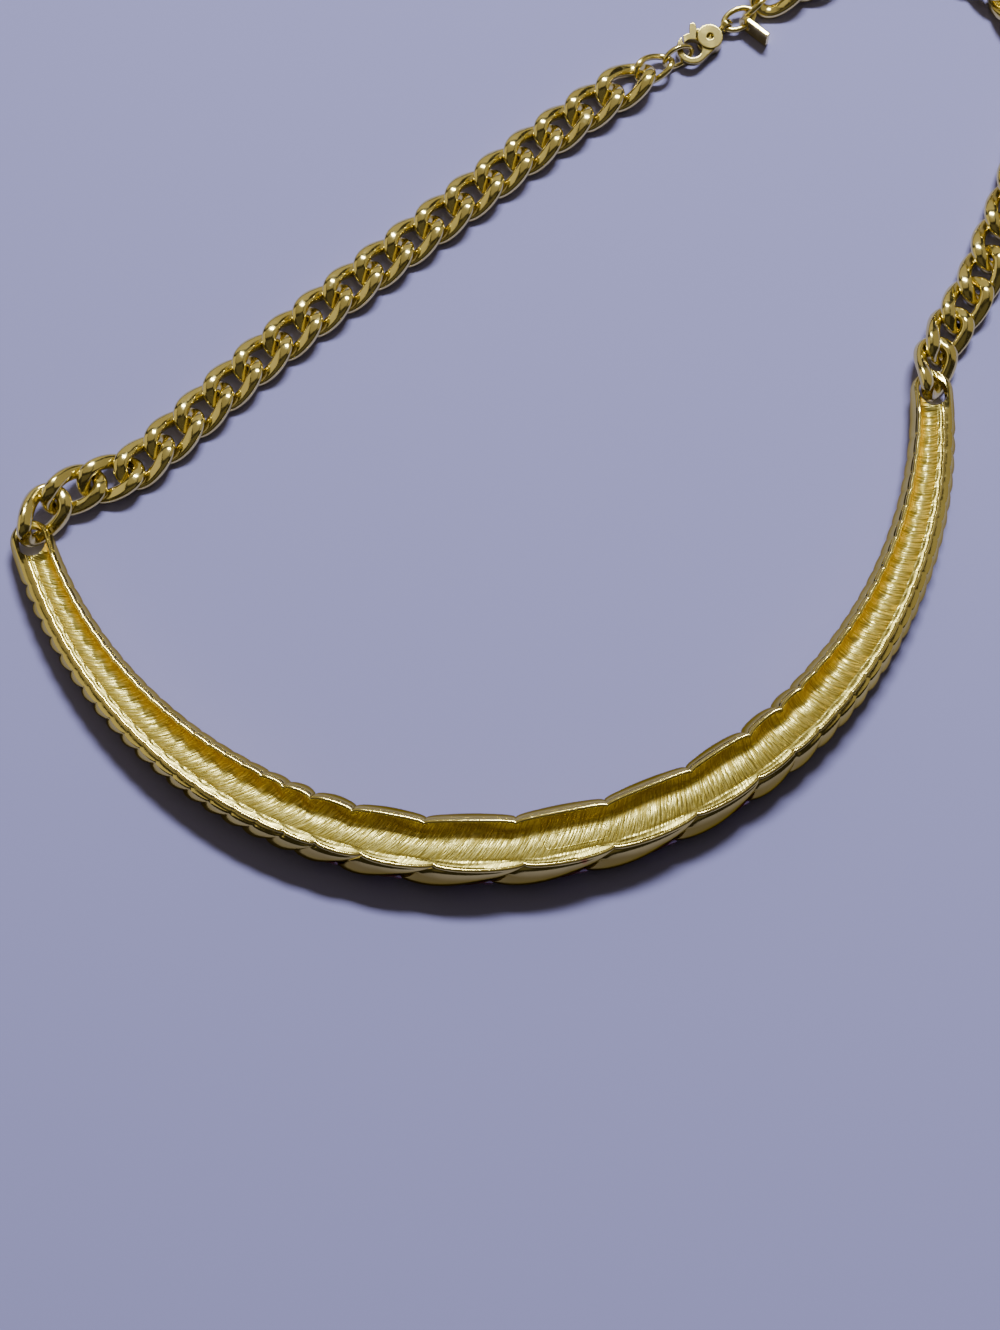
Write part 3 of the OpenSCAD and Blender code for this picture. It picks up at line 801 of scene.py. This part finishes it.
def slope_face(obj):
    """Slopes the upper face across the clasp: it sinks on the near side and rises beyond.

    The height changes by the slope times the distance across, fading in between two heights.
    """
    places = places_of(obj)
    away = places[:, :2] - np.array(rivet_at)
    beyond = -np.sin(clasp_heading) * away[:, 0] + np.cos(clasp_heading) * away[:, 1]
    fade = smooth01((places[:, 2] - slope_low) / (slope_high - slope_low))
    places[:, 2] += face_slope * beyond * fade
    put_places(obj, places)


sink_cup(clasp)
slope_face(clasp)
slope_face(lever)
finish_piece(clasp, "necklace", "chain_metal", "clasp_body")
finish_piece(lever, "lever", "chain_metal", "clasp_lever")
finish_piece(tag, "necklace", "chain_metal", "hang_tag")

# %% [markdown]
# A small bare plate is soldered on the floor of the hollow. It is a rounded slab: the height
# falls off near the edge, and the outline is a squared circle.

# %% The bare plate
plate_len, plate_wid, plate_proud = 8.8, 2.4, 0.22
plate_heading = 2.4
plate_edge, plate_foot, plate_squared = 0.18, -0.5, 0.35
plate_around, plate_inward = 96, 10
plate_insets = [0.3, 0.5, 0.75, 1.0]


def plate_points():
    """Rings of the slab from the foot up over the edge to the middle.

    The outline is a squared circle: cosine and sine to the power 0.35. A ring at the share q
    stands inside the outline by the edge's roundness times 1 minus the cosine of q.
    """
    t = 2 * np.pi * np.arange(plate_around) / plate_around
    ox, oy = signed_power(np.cos(t), plate_squared), signed_power(np.sin(t), plate_squared)
    q = np.linspace(0, np.pi / 2, plate_inward)
    inset = np.concatenate([[0], plate_edge * (1 - np.cos(q)), plate_insets])[:, None]
    over_edge = plate_proud - plate_edge + plate_edge * np.sin(q)
    height = np.concatenate([[plate_foot], over_edge, [plate_proud] * len(plate_insets)])
    x = (plate_len / 2 - inset) * ox[None]
    y = (plate_wid / 2 - inset) * oy[None]
    return np.stack([x, y, height[:, None] + 0 * x], -1)


def floor_height(offset):
    """Height of the hollow's floor near the middle of the collar, from the offset alone."""
    half = mid_w / 2 - rim_in_mid - rim_w
    across = (half - offset) / (2 * half)
    down = np.sin(np.pi / 2 * np.clip(across / place_mid, 0, 1)) ** floor_sharpness
    beyond = np.clip((across - place_mid) / (1 - place_mid), 0, 1)
    return mid_h - hollow_mid * down * np.sqrt(1 - beyond**2)


slab = plate_points()
slab[..., 2] += floor_height(-slab[..., 1])
slab[..., 1] -= collar_r
slab = slab @ turn_about("z", plate_heading)[0].T + collar_centre
plate = tube("bare_plate", slab)
plate.data.set_sharp_from_angle(angle=crease)
finish_piece(plate, "necklace", "collar_metal")

# %% [markdown]
# Shader maths reads best as an expression. The class below wraps a socket, so that a plus or
# a times adds its Math node.

# %% Shader maths as expressions


class Socket:
    """An output socket that is added, subtracted, multiplied and divided like a number."""

    def __init__(self, finish, socket):
        self.finish, self.socket = finish, socket

    def math(self, operation, *values):
        return self.finish.make("ShaderNodeMath", {"operation": operation}, dict(enumerate(values)))

    def __add__(self, other):
        return self.math("ADD", self, other)

    def __sub__(self, other):
        return self.math("SUBTRACT", self, other)

    def __rsub__(self, other):
        return self.math("SUBTRACT", other, self)

    def __mul__(self, other):
        return self.math("MULTIPLY", self, other)

    def __truediv__(self, other):
        return self.math("DIVIDE", self, other)

    def root(self):
        return self.math("SQRT", self)

    def cosine(self):
        return self.math("COSINE", self)

    def angle_over(self, other):
        """The angle whose tangent is this value over the other one."""
        return self.math("ARCTAN2", self, other)

    __radd__, __rmul__ = __add__, __mul__


print("a socket can be used in sums")

# %% [markdown]
# A finish is a material with one shader. Numbers that are the same all over are set on the
# shader itself, and patterns are fed to it. Every node except the shader comes from one
# method, which takes the node's type, its settings and its values.

# %% A finish and its nodes


class Finish:
    """A material with one Principled shader and the nodes that feed it."""

    def __init__(self, name, **constants):
        self.material = bpy.data.materials.get(name) or bpy.data.materials.new(name)
        self.material.use_nodes = True
        self.tree = self.material.node_tree
        self.shader = self.tree.nodes["Principled BSDF"]
        for key, value in constants.items():
            self.shader.inputs[key.replace("_", " ")].default_value = value

    def make(self, kind, settings, values, output=0):
        """Adds one node: settings first, then its sockets' values or links. Returns an output."""
        node = self.tree.nodes.new(kind)
        for name, value in settings.items():
            setattr(node, name, value)
        for name, value in values.items():
            if isinstance(value, Socket):
                self.tree.links.new(value.socket, node.inputs[name])
            else:
                node.inputs[name].default_value = value
        return Socket(self, node.outputs[output])

    def feed(self, name, value):
        """Links a pattern to the shader's socket of this name."""
        self.tree.links.new(value.socket, self.shader.inputs[name])

    def place(self):
        """The object's own coordinates, in metres."""
        return self.make("ShaderNodeTexCoord", {}, {}, "Object")

    def mix(self, share, first, second):
        """The first colour at share 0 and the second at share 1."""
        return self.make("ShaderNodeMix", {"data_type": "RGBA"}, {0: share, 6: first, 7: second}, 2)

    def step(self, value, low, high):
        """A soft step from 0 at low to 1 at high."""
        return self.make("ShaderNodeMapRange", {"interpolation_type": "SMOOTHSTEP"},
                         {"Value": value, "From Min": low, "From Max": high})

    def noise(self, vector, scale, detail=2.0):
        """Noise on a vector in metres; scale is in bumps per metre."""
        return self.make("ShaderNodeTexNoise", {},
                         {"Vector": vector, "Scale": scale, "Detail": detail})

    def bump(self, height, distance, strength):
        """Feeds the shader's Normal with a pattern of heights; distance is in metres."""
        self.feed("Normal", self.make("ShaderNodeBump", {},
                                      {"Height": height, "Distance": distance, "Strength": strength}))


print("finish helpers ready")

# %% [markdown]
# Patterns on the collar follow its curve. From the object's own coordinates, the angle about
# the centre of the curve gives the distance along it, and the distance from that centre gives
# the place across it.

# %% Places on the collar for the shaders


def collar_places(finish):
    """Place in metres; distance along, offset and height in millimetres; and the taper.

    The distance along is the angle times the radius. The taper is the cosine that gives the
    collar its width: 1 at the middle and 0 at the tips.
    """
    place = finish.place()
    x, y, z = (finish.make("ShaderNodeSeparateXYZ", {}, {0: place}, axis) for axis in range(3))
    dx = x * 1000 - float(collar_centre[0])
    dy = y * 1000 - float(collar_centre[1])
    s = dx.angle_over(dy * -1.0) * collar_r
    offset = (dx * dx + dy * dy).root() - collar_r
    return place, s, offset, z * 1000, (s * (np.pi / 2 / collar_half)).cosine()


print("patterns can follow a curve of radius, mm:", collar_r)

# %% [markdown]
# The skin of the collar is polished gold plate: nearly smooth, with faint scuffs and clouds of
# a warmer tone. Low on the walls over the middle the plate is painted darker, which is painted
# shade for the shadowed table that these walls mirror. A very small copper spot shows where
# the outer rim has worn.

# %% Polished gold of the collar
skin_gold = Finish("polished_collar", Metallic=1.0, Specular_Tint=(0.6, 0.5, 0.26, 1))
skin_place, skin_along, skin_across, skin_height, skin_taper = collar_places(skin_gold)
skin_tone = skin_gold.noise(skin_place, 160.0)
skin_scuff = skin_gold.noise(skin_place, 1400.0, 4.0)
pale, warm = (0.74, 0.64, 0.22, 1), (0.56, 0.45, 0.12, 1)
painted_shade_gold, copper = (0.3, 0.23, 0.05, 1), (0.5, 0.2, 0.08, 1)
spot_along, spot_across, spot_narrow = 3.0, 3.7, 3.0

# Painted shade: the walls are darker low down over the middle, where they mirror the shadowed table.
painted_shade_low = skin_gold.step(skin_height + skin_tone * 1.5, 7.7, 6.2)
painted_shade_low = painted_shade_low * skin_gold.step(skin_taper, 0.7, 0.95)
by_spot, off_spot = skin_along - spot_along, skin_across - spot_across
from_spot = (by_spot * by_spot + off_spot * off_spot * spot_narrow).root()
worn = 1 - skin_gold.step(from_spot + skin_scuff * 0.8, 0.5, 1.2)
worn = worn * skin_gold.step(skin_height, 6.2, 6.8)
skin_colour = skin_gold.mix(skin_gold.step(skin_tone, 0.35, 0.75) * 0.5, pale, warm)
skin_colour = skin_gold.mix(painted_shade_low * 0.9, skin_colour, painted_shade_gold)
skin_gold.feed("Base Color", skin_gold.mix(worn, skin_colour, copper))
skin_gold.feed("Roughness", 0.1 + skin_gold.step(skin_scuff, 0.45, 0.8) * 0.12)
skin_gold.bump(skin_scuff, 0.00002, 0.35)
print("finish:", skin_gold.material.name)

# %% [markdown]
# The hollow was brushed by hand across the collar. Fine lines lie about a third of a
# millimetre apart, each a little uneven, because the noise is squeezed along the collar and
# stretched across it. They lean one way on the left and turn upright to the right. The shelf
# at the outer rim was hardly reached by the brush.

# %% Lines of the brush
brushed = Finish("brushed_hollow", Metallic=1.0)
place, along_mm, across_mm, height_mm, taper_here = collar_places(brushed)
coarse_per_mm, coarse_across = 3.2, 0.35
fine_per_mm, fine_across, fine_start = 6.0, 0.6, 7.0
slant = along_mm + across_mm * (0.7 - brushed.step(along_mm, 0.0, 45.0) * 0.8)


def brush_lines(per_mm, across_per_mm, start, detail):
    """Noise with per_mm bumps to a millimetre along the collar and few across it."""
    stretched = {0: slant * per_mm, 1: across_mm * across_per_mm, 2: start}
    return brushed.noise(brushed.make("ShaderNodeCombineXYZ", {}, stretched), 1.0, detail)


coarse = brush_lines(coarse_per_mm, coarse_across, 0.0, 1.5)
fine = brush_lines(fine_per_mm, fine_across, fine_start, 1.0)
share_across = (across_mm + 1.7 + taper_here * 1.4) / (2.35 + taper_here * 3.85)
brushed_not_shaded_shelf = 1 - brushed.step(share_across + brushed.noise(place, 300.0) * 0.1, 0.86, 0.94)
dark_lines = brushed.step(coarse * 0.65 + fine * 0.35, 0.55, 0.45)
print("lines to a millimetre:", coarse_per_mm)

# %% [markdown]
# The brushed gold is light, with dark lines in it. The shelf is painted a smooth olive, which
# is painted shade: darker than the gold itself, standing in for a dim reflection. The wall next
# to the inner rim is painted deeper: amber towards the ends, a painted reflection of the bright
# gold floor facing it, and brown over the middle, painted shade where it faces the dim room.

# %% Brushed gold of the hollow
# Painted light: olive is painted shade on the shelf, amber is a painted reflection and brown is
# painted shade on the inner wall.
light_gold, deep_gold, shelf_painted_shade = (0.92, 0.83, 0.26, 1), (0.34, 0.27, 0.04, 1), (0.44, 0.38, 0.1, 1)
wall_painted_reflection, wall_painted_shade = (0.95, 0.62, 0.05, 1), (0.42, 0.28, 0.04, 1)
cloud = brushed.noise(place, 90.0, 3.0)
# Mask of the painted light on the inner wall, near the inner rim.
painted_wall_mask = 1 - brushed.step(share_across + cloud * 0.1, 0.2, 0.42)
wall_painted_light = brushed.mix(brushed.step(taper_here, 0.65, 0.95), wall_painted_reflection, wall_painted_shade)
floor_colour = brushed.mix(dark_lines * (0.15 + brushed_not_shaded_shelf * 0.75), light_gold, deep_gold)
# Painted shade: the shelf is coloured a darker olive.
floor_colour = brushed.mix((1 - brushed_not_shaded_shelf) * 0.8, floor_colour, shelf_painted_shade)
brushed.feed("Base Color", brushed.mix(painted_wall_mask * 0.7, floor_colour, wall_painted_light))
brushed.feed("Roughness", 0.34 + dark_lines * 0.2 - (1 - brushed_not_shaded_shelf) * 0.1)
brushed.bump((coarse * 0.7 + fine * 0.3) * (0.15 + brushed_not_shaded_shelf * 0.85), 0.00032, 1.0)
print("finish:", brushed.material.name)

# %% [markdown]
# The chain and the tag share a bright polish. A little dullness gathers where the scuffs are
# thickest, which keeps the links from looking like mirrors.

# %% Polished gold of the chain
chain_gold = Finish("polished_chain", Metallic=1.0)
chain_place = chain_gold.place()
chain_tone = chain_gold.step(chain_gold.noise(chain_place, 220.0), 0.35, 0.75)
chain_scuff = chain_gold.noise(chain_place, 1800.0, 4.0)
chain_light, chain_deep = (0.82, 0.72, 0.28, 1), (0.68, 0.56, 0.17, 1)
chain_gold.feed("Base Color", chain_gold.mix(chain_tone * 0.45, chain_light, chain_deep))
chain_gold.feed("Roughness", 0.13 + chain_gold.step(chain_scuff, 0.45, 0.8) * 0.15)
chain_gold.bump(chain_scuff, 0.00002, 0.35)
print("finish:", chain_gold.material.name)

# %% [markdown]
# The clasp and its lever are handled most, so they are smooth, with soft clouds in the colour and
# no scuffs to speak of. Their gold is painted a shade deeper than the chain's: painted shade, so
# that their flat faces stay dim under the window.

# %% Smooth gold of the clasp
clasp_gold = Finish("smooth_clasp", Metallic=1.0)
clasp_tone = clasp_gold.noise(clasp_gold.place(), 420.0, 3.0)
# Painted shade: both tones are darker copies of the chain's gold.
clasp_shaded_light, clasp_shaded_deep = (0.58, 0.5, 0.18, 1), (0.42, 0.35, 0.1, 1)
clasp_share = clasp_gold.step(clasp_tone, 0.35, 0.7) * 0.6
clasp_gold.feed("Base Color", clasp_gold.mix(clasp_share, clasp_shaded_light, clasp_shaded_deep))
clasp_gold.feed("Roughness", 0.12 + clasp_gold.step(clasp_tone, 0.45, 0.8) * 0.05)
print("finish:", clasp_gold.material.name)

# %% [markdown]
# Enamel is coloured glass. It has a deep wine body with faint clouds in it, and a clear, hard
# gloss on top.

# %% Wine enamel
wine = Finish("wine_enamel", Coat_Weight=0.6, Coat_Roughness=0.05, Roughness=0.16)
wine_cloud = wine.noise(wine.place(), 260.0, 3.0)
wine_dark, wine_light = (0.1, 0.01, 0.035, 1), (0.2, 0.025, 0.075, 1)
wine.feed("Base Color", wine.mix(wine.step(wine_cloud, 0.3, 0.7), wine_dark, wine_light))
wine.bump(wine_cloud, 0.00003, 0.3)
print("finish:", wine.material.name)

# %% [markdown]
# Every piece now gets its finish. The cast collar has two already: its faces know whether they
# belong to the skin or to the hollow. What isn't named below is polished like the chain.

# %% Give the pieces their finishes
own_finish = {
    "lobster_clasp": clasp_gold,
    "lobster_lever": clasp_gold,
    "bare_plate": brushed,
    "collar": skin_gold,
}
dressed = [obj for obj in bpy.context.scene.objects if obj.type == "MESH" and obj != collar]
for obj in dressed:
    finish = wine if "enamel" in obj.name else own_finish.get(obj.name, chain_gold)
    obj.data.materials.clear()
    obj.data.materials.append(finish.material)
print("pieces and solids with a finish:", len(dressed) + 1)

# %% [markdown]
# The table is a plain pale lilac-grey board, much wider than the view.

# %% Table
table_size = 3000.0
corners = np.array([[-1, -1, 0], [1, -1, 0], [1, 1, 0], [-1, 1, 0]]) * table_size / 2
table = mesh_from("table", corners, np.array([[0, 1, 2, 3]]))
board = Finish("pale_board", Roughness=0.75, Base_Color=(0.34, 0.34, 0.72, 1))
table.data.materials.append(board.material)
print("table, mm:", table_size)

# %% [markdown]
# The light is a window above the far side, wide and not high, which throws the shadow
# towards the viewer. A warm far wall and ceiling soften it. Three warm cards are only there
# to be reflected, because polished metal shows its surroundings. The room itself is dim,
# and shows as the dark bands in the metal.

# %% Light
lit_point = Vector((0, 0, 0))
room_tone = (1.0, 0.86, 0.58)
room_colour, room_strength = (0.5, 0.44, 0.34, 1), 0.06


def soft_window(name, location, size, power, colour=(1, 1, 1)):
    """A rectangular area light at a place in metres, turned to face the choker."""
    lamp = bpy.data.lights.new(name, "AREA")
    lamp.shape = "RECTANGLE"
    lamp.size, lamp.size_y = size
    lamp.energy = power
    lamp.color = colour
    obj = bpy.data.objects.new(name, lamp)
    bpy.context.scene.collection.objects.link(obj)
    obj.location = location
    obj.rotation_euler = (lit_point - Vector(location)).to_track_quat("-Z", "Y").to_euler()
    return obj


soft_window("window", (0.227, 0.511, 0.829), (0.34, 0.12), 11.4)
soft_window("far wall", (0.0, 1.1, 0.45), (1.6, 0.7), 1.6, room_tone)
soft_window("ceiling", (0.0, 0.3, 1.3), (1.4, 1.3), 1.8, room_tone)
cards = [
    soft_window("left card", (-1.0, 0.1, 0.55), (1.2, 1.2), 2.6, room_tone),
    soft_window("right card", (1.0, 0.1, 0.55), (1.2, 1.2), 1.5, room_tone),
    soft_window("near card", (0.0, -0.9, 0.9), (1.4, 0.8), 0.25, room_tone),
]
for card in cards:
    card.visible_diffuse = False
room = bpy.data.worlds.new("room")
room.use_nodes = True
background = room.node_tree.nodes["Background"]
background.inputs["Color"].default_value = room_colour
background.inputs["Strength"].default_value = room_strength
bpy.context.scene.world = room

# %% [markdown]
# The camera looks down over the collar at a steep angle, a little turned. Its place and its
# three directions were worked out from the picture's perspective.

# %% Camera
camera_lens, camera_sensor = 67.67, 36.0
camera_from_centre = np.array([-18.3, -125.5, 332.0])
camera_right = np.array([0.9848, -0.1736, 0.0])
camera_up = np.array([0.1677, 0.9513, 0.2588])

camera_data = bpy.data.cameras.new("camera")
camera_data.lens = camera_lens
camera_data.sensor_width = camera_sensor
camera_data.clip_start, camera_data.clip_end = 0.01, 10.0
camera = bpy.data.objects.new("camera", camera_data)
bpy.context.scene.collection.objects.link(camera)
camera_place = (camera_from_centre + collar_centre) * mm
camera_matrix = np.eye(4)
camera_back = np.cross(camera_right, camera_up)
camera_matrix[:3] = np.stack([camera_right, camera_up, camera_back, camera_place], -1)
camera.matrix_world = Matrix(camera_matrix.tolist())
bpy.context.scene.camera = camera
print("camera at, mm:", np.round(camera_place / mm, 1))
